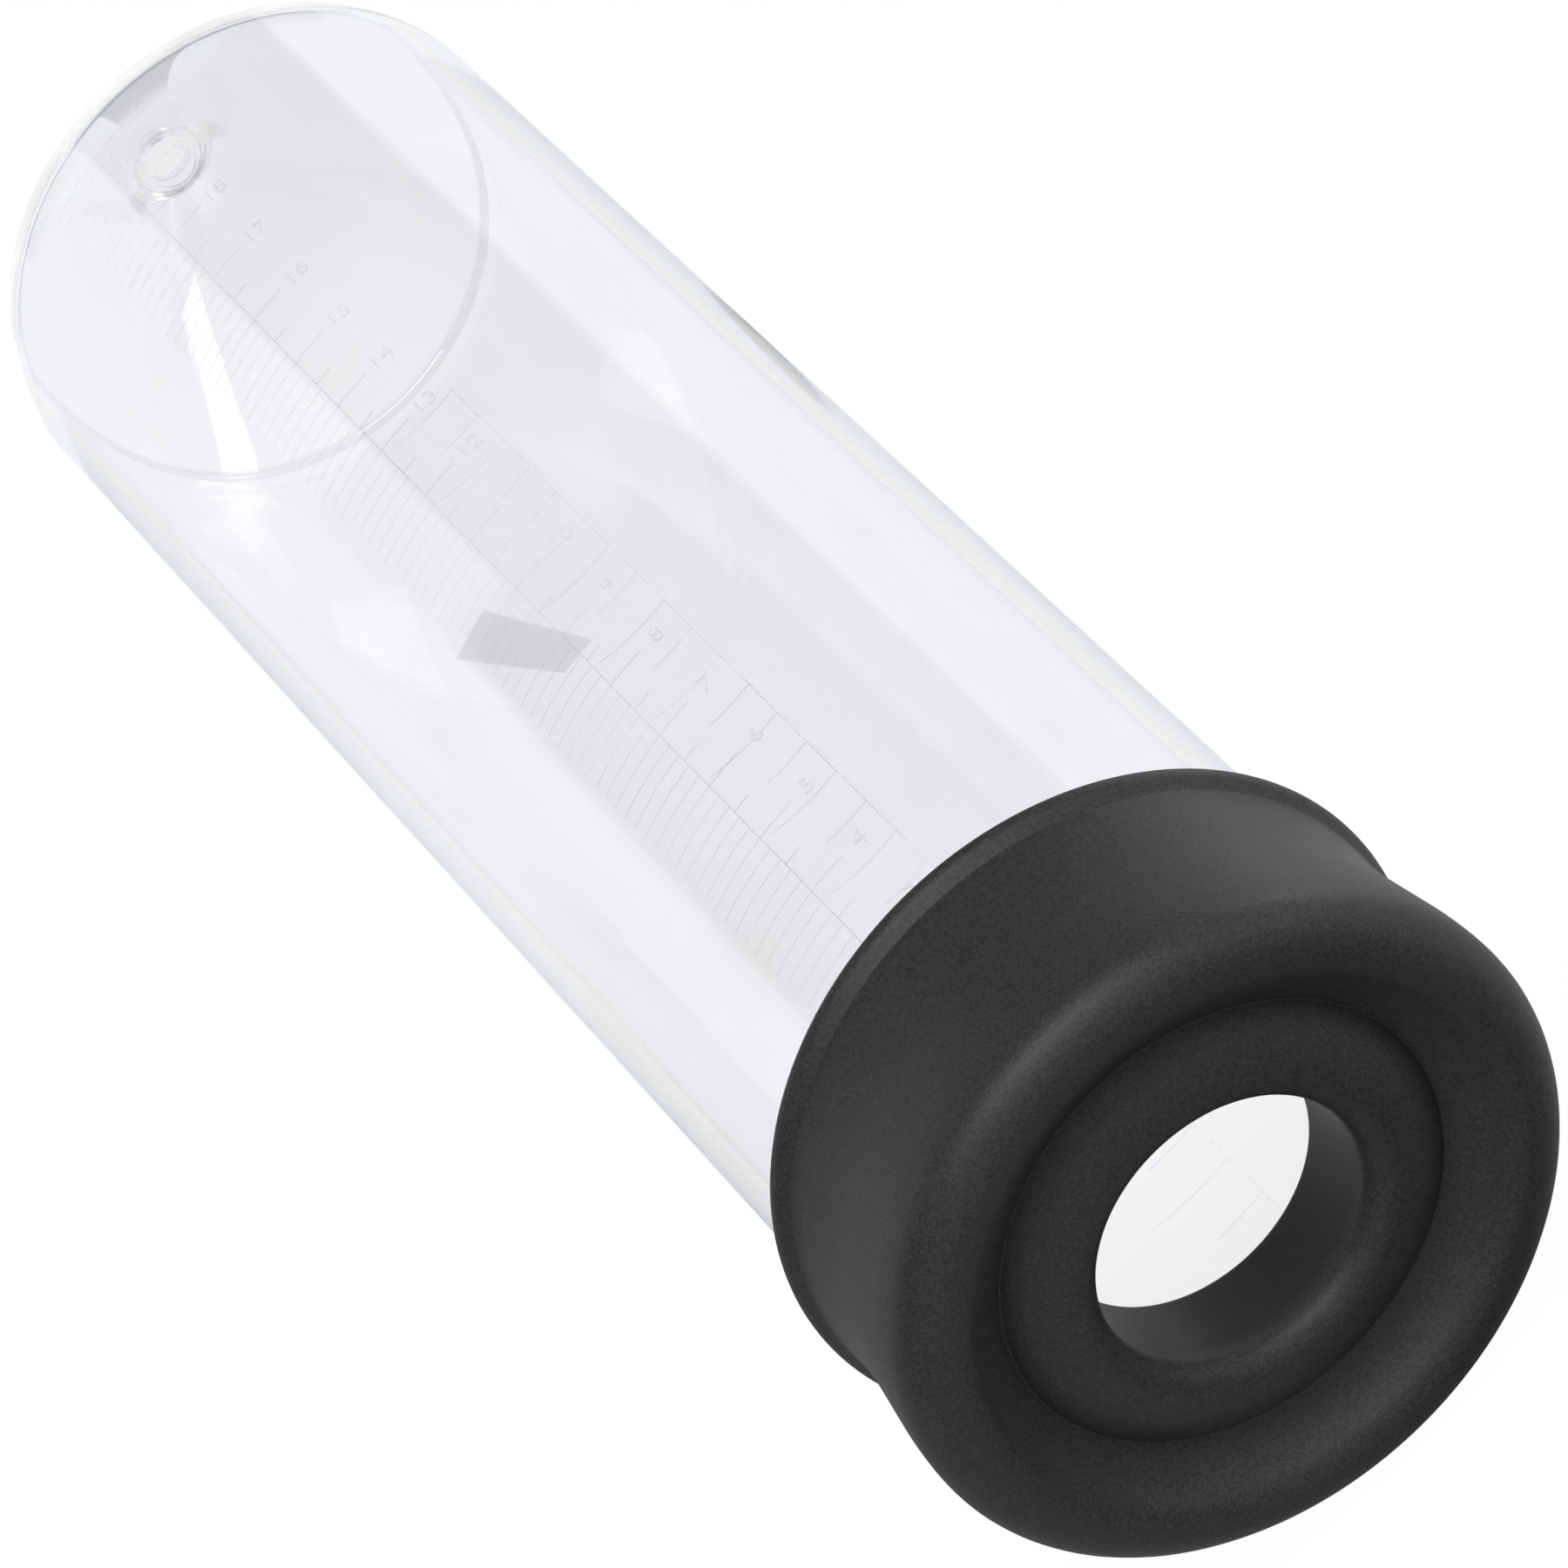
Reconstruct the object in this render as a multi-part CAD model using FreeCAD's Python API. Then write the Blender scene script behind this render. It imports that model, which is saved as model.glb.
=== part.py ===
import FreeCAD
import Part

import math
import os

# Clear graduated vacuum cylinder with an elastomer seal sleeve on its open end.
# Frame: the cylinder's axis is Y. The sleeve's front face touches y = 0 and faces -Y, the
# closed end with the hose port points to +Y, and +Z is up: the centimetre scale is on top
# and the inch scale underneath. Sizes are in millimetres.

# Barrel: a straight round tube with a conical closed end.
BARREL_RADIUS = 29.3
BARREL_WALL = 2.5
BARREL_MOUTH_Y = 7.2
BARREL_SHOULDER_Y = 206.6
MOUTH_EDGE_RADIUS = 0.8
CONE_HALF_ANGLE = 45.0
SHOULDER_OUTER_RADIUS = 3.5
SHOULDER_INNER_RADIUS = 1.2

# Port in the tip of the cone.
PORT_BORE_RADIUS = 2.9
PORT_BOSS_RADIUS = 5.2
PORT_BOSS_HEIGHT = 1.6
PORT_EDGE_RADIUS = 0.4

# Seal sleeve: skirt, rear bead, waist and front bulge.
SLEEVE_CLEARANCE = 0.3
SLEEVE_REAR_Y = 28.1
BEAD_RADIUS = 1.1
BEAD_OUTER_RADIUS = 32.4
BEAD_FOOT_RADIUS = 31.4
BEAD_FOOT_Y = 25.2
BEAD_FRONT_SAG = -0.275
WAIST_SAG = 0.3
WAIST_END_RADIUS = 31.6
WAIST_END_Y = 15.0
FLARE_END_RADIUS = 32.45
FLARE_END_Y = 8.6
BULGE_SAG = -0.08
BULGE_RADIUS = 32.82
ROLL_RADIUS = 4.1

# Seal sleeve: dished front face, groove, inner donut and tunnel.
DISH_ROLL_ANGLE = 38.0
DISH_SAG = -0.35
GROOVE_RADIUS = 22.0
GROOVE_Y = 4.6
DONUT_CREST_RADIUS = 15.8
DONUT_CREST_Y = 1.55
DONUT_LIP_RADIUS = 2.5
TUNNEL_RADIUS = DONUT_CREST_RADIUS - DONUT_LIP_RADIUS
TUNNEL_END_Y = 13.6
TUNNEL_WALL = 3.2
TUNNEL_LIP_RADIUS = 0.9
WEB_GAP = 0.3
SKIRT_CHAMFER = 0.45

# Raised scales moulded on the barrel.
MARK_HEIGHT = 0.12
MARK_WIDTH = 0.3
SCALE_ZERO_Y = 0.5
CENTIMETRE = 10.0
CENTIMETRE_COUNT = 20
FINE_STEP = 2.0
CM_BASELINE_ANGLE = -10.1
CM_TICK_LENGTH = 4.1
HALF_CM_TICK_LENGTH = 2.0
FINE_TICK_LENGTH = 7.8
INCH = 25.4
INCH_COUNT = 8
QUARTERS = 4
INCH_BASELINE_ANGLE = 9.2
HALF_INCH_TICK_LENGTH = 10.2
QUARTER_INCH_TICK_LENGTH = 6.3

AXIS_ORIGIN = FreeCAD.Vector(0, 0, 0)
AXIS_Y = FreeCAD.Vector(0, 1, 0)
FULL_TURN = 360.0


def point(radius, y):
    """A point of a half section: distance from the axis, and place along it."""
    return FreeCAD.Vector(radius, y, 0)


def on_circle(centre, radius, angle):
    """A point at an angle from the outward direction, turning towards +Y."""
    turn = math.radians(angle)
    return point(centre.x + radius * math.cos(turn), centre.y + radius * math.sin(turn))


def round_edge(centre, radius, start, end):
    """An arc of a half section about its centre, between two angles."""
    middle = (start + end) / 2
    arc = Part.Arc(on_circle(centre, radius, start), on_circle(centre, radius, middle),
                   on_circle(centre, radius, end))
    return arc.toShape()


def bowed_edge(start, end, sag):
    """A shallow arc between two points that bows towards the axis by its sag, or away if negative."""
    chord = end - start
    inward = FreeCAD.Vector(chord.y, -chord.x, 0).normalize()
    if inward.x > 0:
        inward = inward * -1
    middle = (start + end) * 0.5 + inward * sag
    return Part.Arc(start, middle, end).toShape()


def straight(start, end):
    return Part.LineSegment(start, end).toShape()


def joined(edges):
    """Half-section edges in order, with straight runs closing the gaps between them."""
    chain = []
    ends = edges[1:] + edges[:1]
    for edge, following in zip(edges, ends):
        chain.append(edge)
        leave = edge.lastVertex(True).Point
        meet = following.firstVertex(True).Point
        if leave.distanceToPoint(meet) > 1e-6:
            chain.append(straight(leave, meet))
    return chain


def turned(edges):
    """The solid that a closed half section sweeps round the Y axis."""
    wire = Part.Wire(joined(edges))
    solid = Part.Face(wire).revolve(AXIS_ORIGIN, AXIS_Y, FULL_TURN)
    return solid if solid.Volume > 0 else solid.reversed()


def shoulder(wall_radius, wall_end_y, corner_radius):
    """The rounded corner between a straight wall and the cone, from wall to cone."""
    centre = point(wall_radius - corner_radius, wall_end_y)
    return round_edge(centre, corner_radius, 0, 90 - CONE_HALF_ANGLE)


def cone_y(shoulder_arc, radius):
    """Where the cone that leaves a shoulder arc reaches a radius."""
    start = shoulder_arc.lastVertex(True).Point
    return start.y + (start.x - radius) / math.tan(math.radians(CONE_HALF_ANGLE))


def make_barrel():
    """Tube, conical end and port, as one moulding."""
    inner_radius = BARREL_RADIUS - BARREL_WALL
    outer_corner = shoulder(BARREL_RADIUS, BARREL_SHOULDER_Y, SHOULDER_OUTER_RADIUS)
    half_angle = math.radians(CONE_HALF_ANGLE)
    outer_apex_y = cone_y(outer_corner, 0)
    inner_apex_y = outer_apex_y - BARREL_WALL / math.sin(half_angle)
    corner_rise = SHOULDER_INNER_RADIUS * math.tan(half_angle / 2)
    sharp_corner_y = inner_apex_y - inner_radius / math.tan(half_angle)
    inner_corner = shoulder(inner_radius, sharp_corner_y - corner_rise, SHOULDER_INNER_RADIUS)
    boss_y = cone_y(outer_corner, PORT_BOSS_RADIUS)
    boss_top_y = boss_y + PORT_BOSS_HEIGHT
    boss_edge = round_edge(point(PORT_BOSS_RADIUS - PORT_EDGE_RADIUS,
                                 boss_top_y - PORT_EDGE_RADIUS), PORT_EDGE_RADIUS, 0, 90)
    bore_top = straight(point(PORT_BORE_RADIUS, boss_top_y),
                        point(PORT_BORE_RADIUS, cone_y(inner_corner, PORT_BORE_RADIUS)))
    inner_cone = straight(bore_top.lastVertex(True).Point, inner_corner.lastVertex(True).Point)
    inner_return = round_edge(point(inner_radius - SHOULDER_INNER_RADIUS,
                                    sharp_corner_y - corner_rise),
                              SHOULDER_INNER_RADIUS, 90 - CONE_HALF_ANGLE, 0)
    mouth_centre_y = BARREL_MOUTH_Y + MOUTH_EDGE_RADIUS
    mouth_inner = round_edge(point(inner_radius + MOUTH_EDGE_RADIUS, mouth_centre_y),
                             MOUTH_EDGE_RADIUS, 180, 270)
    mouth_outer = round_edge(point(BARREL_RADIUS - MOUTH_EDGE_RADIUS, mouth_centre_y),
                             MOUTH_EDGE_RADIUS, 270, 360)
    boss_foot = point(PORT_BOSS_RADIUS, boss_y)
    outer_cone = straight(outer_corner.lastVertex(True).Point, boss_foot)
    return turned([mouth_outer, outer_corner, outer_cone, boss_edge, bore_top, inner_cone,
                   inner_return, mouth_inner])


def sleeve_outside():
    """Edges from the skirt's rear edge over bead, waist, flare and front roll."""
    bead_centre = point(BEAD_OUTER_RADIUS - BEAD_RADIUS, SLEEVE_REAR_Y - BEAD_RADIUS)
    bead_back = round_edge(bead_centre, BEAD_RADIUS, 90, 0)
    bead_side = bead_back.lastVertex(True).Point
    bead_foot = point(BEAD_FOOT_RADIUS, BEAD_FOOT_Y)
    bead_front = bowed_edge(bead_side, bead_foot, BEAD_FRONT_SAG)
    waist_end = point(WAIST_END_RADIUS, WAIST_END_Y)
    waist = bowed_edge(bead_foot, waist_end, WAIST_SAG)
    flare_end = point(FLARE_END_RADIUS, FLARE_END_Y)
    flare = straight(waist_end, flare_end)
    roll_centre = point(BULGE_RADIUS - ROLL_RADIUS, ROLL_RADIUS)
    shoulder_edge = bowed_edge(flare_end, point(BULGE_RADIUS, ROLL_RADIUS), BULGE_SAG)
    roll = round_edge(roll_centre, ROLL_RADIUS, 0, -90 - DISH_ROLL_ANGLE)
    return [bead_back, bead_front, waist, flare, shoulder_edge, roll]


def sleeve_face():
    """Edges from the dish over the groove and the inner donut into the tunnel."""
    groove = point(GROOVE_RADIUS, GROOVE_Y)
    run = GROOVE_RADIUS - DONUT_CREST_RADIUS
    drop = GROOVE_Y - DONUT_CREST_Y
    donut_radius = (run * run + drop * drop) / (2 * drop)
    donut_centre = point(DONUT_CREST_RADIUS, DONUT_CREST_Y + donut_radius)
    groove_angle = math.degrees(math.asin(run / donut_radius)) - 90
    donut = round_edge(donut_centre, donut_radius, groove_angle, -90)
    lip_centre = point(DONUT_CREST_RADIUS, DONUT_CREST_Y + DONUT_LIP_RADIUS)
    lip = round_edge(lip_centre, DONUT_LIP_RADIUS, -90, -180)
    dish_start = sleeve_outside()[-1].lastVertex(True).Point
    dish = bowed_edge(dish_start, groove, DISH_SAG)
    return [dish, donut, lip]


def sleeve_inside():
    """Edges from the tunnel's rear lip round the collar and out along the skirt."""
    skirt_radius = BARREL_RADIUS + SLEEVE_CLEARANCE
    collar_radius = TUNNEL_RADIUS + TUNNEL_WALL
    web_y = BARREL_MOUTH_Y - WEB_GAP
    lip_y = TUNNEL_END_Y - TUNNEL_LIP_RADIUS
    rear_inner = round_edge(point(TUNNEL_RADIUS + TUNNEL_LIP_RADIUS, lip_y),
                            TUNNEL_LIP_RADIUS, 180, 90)
    rear_outer = round_edge(point(collar_radius - TUNNEL_LIP_RADIUS, lip_y),
                            TUNNEL_LIP_RADIUS, 90, 0)
    web_fillet = round_edge(point(collar_radius + TUNNEL_LIP_RADIUS, web_y + TUNNEL_LIP_RADIUS),
                            TUNNEL_LIP_RADIUS, 180, 270)
    web = straight(web_fillet.lastVertex(True).Point, point(skirt_radius, web_y))
    skirt_edge_y = SLEEVE_REAR_Y - SKIRT_CHAMFER
    skirt = straight(point(skirt_radius, web_y), point(skirt_radius, skirt_edge_y))
    return [rear_inner, rear_outer, web_fillet, web, skirt,
            straight(point(skirt_radius, skirt_edge_y),
                     point(skirt_radius + SKIRT_CHAMFER, SLEEVE_REAR_Y))]


def make_seal_sleeve():
    """One-piece elastomer sleeve with its mouth, groove, waist and rear bead."""
    return turned(sleeve_outside() + sleeve_face() + sleeve_inside())


def raised_mark(y_low, y_high, angle, sweep):
    """A thin pad on the barrel's wall; angles are counted from +Z towards +X."""
    outer = BARREL_RADIUS + MARK_HEIGHT
    corners = [FreeCAD.Vector(0, y_low, BARREL_RADIUS), FreeCAD.Vector(0, y_high, BARREL_RADIUS),
               FreeCAD.Vector(0, y_high, outer), FreeCAD.Vector(0, y_low, outer)]
    section = Part.Face(Part.makePolygon(corners + corners[:1]))
    section.rotate(AXIS_ORIGIN, AXIS_Y, angle)
    pad = section.revolve(AXIS_ORIGIN, AXIS_Y, sweep)
    return pad if pad.Volume > 0 else pad.reversed()


def sweep_of(length):
    """The angle that an arc length takes up on the barrel's wall."""
    return math.degrees(length / BARREL_RADIUS)


def tick(y, base_angle, length):
    """A mark across the barrel from the baseline; a negative length runs the other way."""
    sweep = sweep_of(abs(length))
    start = base_angle if length > 0 else base_angle - sweep
    return raised_mark(y - MARK_WIDTH / 2, y + MARK_WIDTH / 2, start, sweep)


def scale(base_angle, first_y, last_y, ticks):
    """A baseline along the barrel with its ticks, fused into one comb."""
    half_line = sweep_of(MARK_WIDTH) / 2
    line = raised_mark(first_y, last_y, base_angle - half_line, 2 * half_line)
    comb = line.multiFuse(ticks)
    return comb.removeSplitter()


def make_centimetre_scale():
    """Twenty centimetres on top: centimetre, half-centimetre and fine ticks."""
    ticks = []
    for count in range(1, CENTIMETRE_COUNT + 1):
        y = SCALE_ZERO_Y + count * CENTIMETRE
        ticks.append(tick(y, CM_BASELINE_ANGLE, CM_TICK_LENGTH))
        half_y = y - CENTIMETRE / 2
        if half_y > BARREL_MOUTH_Y:
            ticks.append(tick(half_y, CM_BASELINE_ANGLE, HALF_CM_TICK_LENGTH))
    fine_count = round(CENTIMETRE * CENTIMETRE_COUNT / FINE_STEP)
    for count in range(1, fine_count + 1):
        y = SCALE_ZERO_Y + count * FINE_STEP
        if y > BARREL_MOUTH_Y + MOUTH_EDGE_RADIUS:
            ticks.append(tick(y, CM_BASELINE_ANGLE, -FINE_TICK_LENGTH))
    top_y = SCALE_ZERO_Y + CENTIMETRE * CENTIMETRE_COUNT + MARK_WIDTH / 2
    return scale(CM_BASELINE_ANGLE, BARREL_MOUTH_Y + MOUTH_EDGE_RADIUS, top_y, ticks)


def make_inch_scale():
    """Eight inches underneath, with long half-inch and short quarter-inch ticks."""
    base_angle = 180 - INCH_BASELINE_ANGLE
    ticks = []
    for count in range(2, INCH_COUNT * QUARTERS + 1):
        y = SCALE_ZERO_Y + count * INCH / QUARTERS
        half_inch = count % 2 == 0
        length = HALF_INCH_TICK_LENGTH if half_inch else QUARTER_INCH_TICK_LENGTH
        ticks.append(tick(y, base_angle, length))
    top_y = SCALE_ZERO_Y + INCH * INCH_COUNT + MARK_WIDTH / 2
    return scale(base_angle, BARREL_MOUTH_Y + MOUTH_EDGE_RADIUS, top_y, ticks)


def main():
    os.makedirs("parts", exist_ok=True)
    nodes = {
        "barrel": make_barrel(),
        "seal_sleeve": make_seal_sleeve(),
        "centimetre_scale": make_centimetre_scale(),
        "inch_scale": make_inch_scale(),
    }
    for name, shape in nodes.items():
        box = shape.BoundBox
        print(name, shape.isValid(), len(shape.Solids), round(shape.Volume, 1),
              [round(v, 2) for v in (box.XMin, box.YMin, box.ZMin)],
              [round(v, 2) for v in (box.XMax, box.YMax, box.ZMax)])
        shape.exportStep("parts/" + name + ".step")


main()
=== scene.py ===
import math

import bmesh
import bpy
from mathutils import Matrix, Vector


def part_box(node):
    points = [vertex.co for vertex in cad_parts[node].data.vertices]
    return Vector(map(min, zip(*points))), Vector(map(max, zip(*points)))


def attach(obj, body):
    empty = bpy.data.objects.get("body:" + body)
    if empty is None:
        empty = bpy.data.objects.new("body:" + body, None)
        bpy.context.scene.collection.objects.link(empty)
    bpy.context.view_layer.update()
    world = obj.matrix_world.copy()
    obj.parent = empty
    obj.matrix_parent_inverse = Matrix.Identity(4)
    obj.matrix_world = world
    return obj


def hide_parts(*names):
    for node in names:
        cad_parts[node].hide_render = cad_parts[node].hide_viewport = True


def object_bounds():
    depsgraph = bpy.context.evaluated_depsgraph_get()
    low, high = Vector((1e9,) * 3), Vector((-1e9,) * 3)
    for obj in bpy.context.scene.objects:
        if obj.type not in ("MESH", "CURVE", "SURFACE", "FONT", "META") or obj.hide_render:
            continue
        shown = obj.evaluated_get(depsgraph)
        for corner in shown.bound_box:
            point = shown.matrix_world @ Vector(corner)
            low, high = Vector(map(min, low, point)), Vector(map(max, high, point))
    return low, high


bl_info = {
    "name": "Graduated Vacuum Cylinder",
    "version": (1, 0, 0),
    "blender": (4, 5, 0),
    "location": "View3D > Sidebar > Vacuum Cylinder",
    "description": "Builds the visible pieces of a clear graduated cylinder with a seal sleeve",
    "category": "Add Mesh",
}

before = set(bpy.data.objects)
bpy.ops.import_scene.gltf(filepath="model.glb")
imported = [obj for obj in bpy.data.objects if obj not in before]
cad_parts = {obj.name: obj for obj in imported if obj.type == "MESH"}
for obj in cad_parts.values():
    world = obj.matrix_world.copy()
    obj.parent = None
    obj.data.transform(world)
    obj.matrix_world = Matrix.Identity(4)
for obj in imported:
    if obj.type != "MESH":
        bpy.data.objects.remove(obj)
CAD_LOW, CAD_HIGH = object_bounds()
BARREL_LOW, BARREL_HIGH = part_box("barrel")
SLEEVE_LOW, SLEEVE_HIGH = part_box("seal_sleeve")

MM = 0.001
DEGREE = math.radians(1)
FULL_TURN = 2 * math.pi
BARREL_RADIUS = BARREL_HIGH.x

# Mesh detail
MERGE = 0.002 * MM
CUT_TOLERANCE = 0.0001 * MM
CORNER_SEGMENTS = 10
BAR_ROUNDING = 0.75
BAR_SEGMENTS = 3
NUMERAL_RESOLUTION = 4
BARREL_FACE = 2.5 * MM
SLEEVE_FACE = 1.2 * MM


# ------------------------------------------------------------------ properties

class BarrelSettings(bpy.types.PropertyGroup):
    """Sizes and finish of the clear moulding."""
    wall: bpy.props.FloatProperty(
        name="Wall", description="Thickness of the tube's wall",
        default=2.5 * MM, unit="LENGTH")
    mouth_round: bpy.props.FloatProperty(
        name="Mouth round", description="Rounding of the open end's edges",
        default=0.8 * MM, unit="LENGTH")
    shoulder_round: bpy.props.FloatProperty(
        name="Shoulder round", description="Radius between the wall and the conical end",
        default=3.5 * MM, unit="LENGTH")
    shoulder_inner_round: bpy.props.FloatProperty(
        name="Inner shoulder round", description="Radius inside the shoulder",
        default=1.2 * MM, unit="LENGTH")
    cone_angle: bpy.props.FloatProperty(
        name="Cone half angle", description="Angle between the cone and the axis",
        default=math.radians(45), subtype="ANGLE", unit="ROTATION")
    port_bore: bpy.props.FloatProperty(
        name="Port bore", description="Radius of the hole in the tip",
        default=2.9 * MM, unit="LENGTH")
    port_boss: bpy.props.FloatProperty(
        name="Port boss", description="Radius of the ring round the hole",
        default=5.2 * MM, unit="LENGTH")
    boss_height: bpy.props.FloatProperty(
        name="Boss height", description="How far the ring stands out of the cone",
        default=1.6 * MM, unit="LENGTH")
    tint: bpy.props.FloatVectorProperty(
        name="Tint", description="Colour that the clear plastic gives to light",
        default=(0.955, 0.955, 0.972), size=3, subtype="COLOR", min=0, max=1)
    smudge: bpy.props.FloatVectorProperty(
        name="Smudge", description="Colour of the plastic where it is handled or dusty",
        default=(0.925, 0.92, 0.925), size=3, subtype="COLOR", min=0, max=1)
    # Painted shade of the thick ring inside the shoulder: its colour, then where it lies and how
    # far it reaches.
    ring: bpy.props.FloatVectorProperty(
        name="Ring", description="Shade of the thick ring inside the shoulder",
        default=(0.52, 0.53, 0.62), size=3, subtype="COLOR", min=0, max=1)
    corner_y: bpy.props.FloatProperty(
        name="Corner", description="Where the inner shoulder corner lies on the axis",
        default=207.0 * MM, unit="LENGTH")
    ring_inset: bpy.props.FloatProperty(
        name="Ring inset", description="How far the ring's middle lies inside the wall",
        default=0.25 * MM, unit="LENGTH")
    ring_core: bpy.props.FloatProperty(
        name="Ring core", description="Distance from its middle where the ring is darkest",
        default=0.45 * MM, unit="LENGTH")
    ring_reach: bpy.props.FloatProperty(
        name="Ring reach", description="Distance from its middle where the ring ends",
        default=0.95 * MM, unit="LENGTH")
    rim_thinning: bpy.props.FloatProperty(
        name="Rim thinning", description="How transparent the far rim is made",
        default=0.88, min=0, max=1)
    port_thinning: bpy.props.FloatProperty(
        name="Port thinning", description="The port's share of that transparency",
        default=0.4, min=0, max=1)
    steps: bpy.props.IntProperty(
        name="Steps", description="Facets round the axis", default=256)


class SleeveSettings(bpy.types.PropertyGroup):
    """Sizes and finish of the elastomer sleeve."""
    clearance: bpy.props.FloatProperty(
        name="Clearance", description="Gap between skirt and barrel",
        default=0.3 * MM, unit="LENGTH")
    bead_round: bpy.props.FloatProperty(
        name="Bead round", description="Rounding of the rear bead",
        default=1.1 * MM, unit="LENGTH")
    skirt_chamfer: bpy.props.FloatProperty(
        name="Skirt chamfer", description="Rounding where the skirt meets the barrel",
        default=0.45 * MM, unit="LENGTH")
    roll_round: bpy.props.FloatProperty(
        name="Roll round", description="Rounding of the front roll",
        default=4.05 * MM, unit="LENGTH")
    groove_radius: bpy.props.FloatProperty(
        name="Groove radius", description="Radius of the groove in the front face",
        default=22.0 * MM, unit="LENGTH")
    groove_y: bpy.props.FloatProperty(
        name="Groove depth", description="How far the groove lies behind the front crest",
        default=4.6 * MM, unit="LENGTH")
    lip_round: bpy.props.FloatProperty(
        name="Lip round", description="Rounding of the mouth's lip",
        default=2.45 * MM, unit="LENGTH")
    collar_round: bpy.props.FloatProperty(
        name="Collar round", description="Rounding of the collar's edges",
        default=0.9 * MM, unit="LENGTH")
    tunnel_radius: bpy.props.FloatProperty(
        name="Tunnel radius", description="Radius of the mouth",
        default=13.3 * MM, unit="LENGTH")
    tunnel_wall: bpy.props.FloatProperty(
        name="Tunnel wall", description="Thickness of the collar round the tunnel",
        default=3.2 * MM, unit="LENGTH")
    tunnel_end: bpy.props.FloatProperty(
        name="Tunnel end", description="How deep the tunnel reaches",
        default=13.6 * MM, unit="LENGTH")
    dark: bpy.props.FloatVectorProperty(
        name="Dark", description="Darker colour of the silicone",
        default=(0.004, 0.004, 0.0042), size=3, subtype="COLOR", min=0, max=1)
    light: bpy.props.FloatVectorProperty(
        name="Light", description="Lighter colour of the silicone's fine speckle",
        default=(0.032, 0.0315, 0.032), size=3, subtype="COLOR", min=0, max=1)
    # Painted shade: the near-black colour inside the mouth stands in for the shade in the tunnel.
    bore: bpy.props.FloatVectorProperty(
        name="Bore", description="Colour of the silicone inside the mouth, where no dust settles",
        default=(0.001, 0.001, 0.001), size=3, subtype="COLOR", min=0, max=1)
    steps: bpy.props.IntProperty(
        name="Steps", description="Facets round the axis", default=192)


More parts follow.
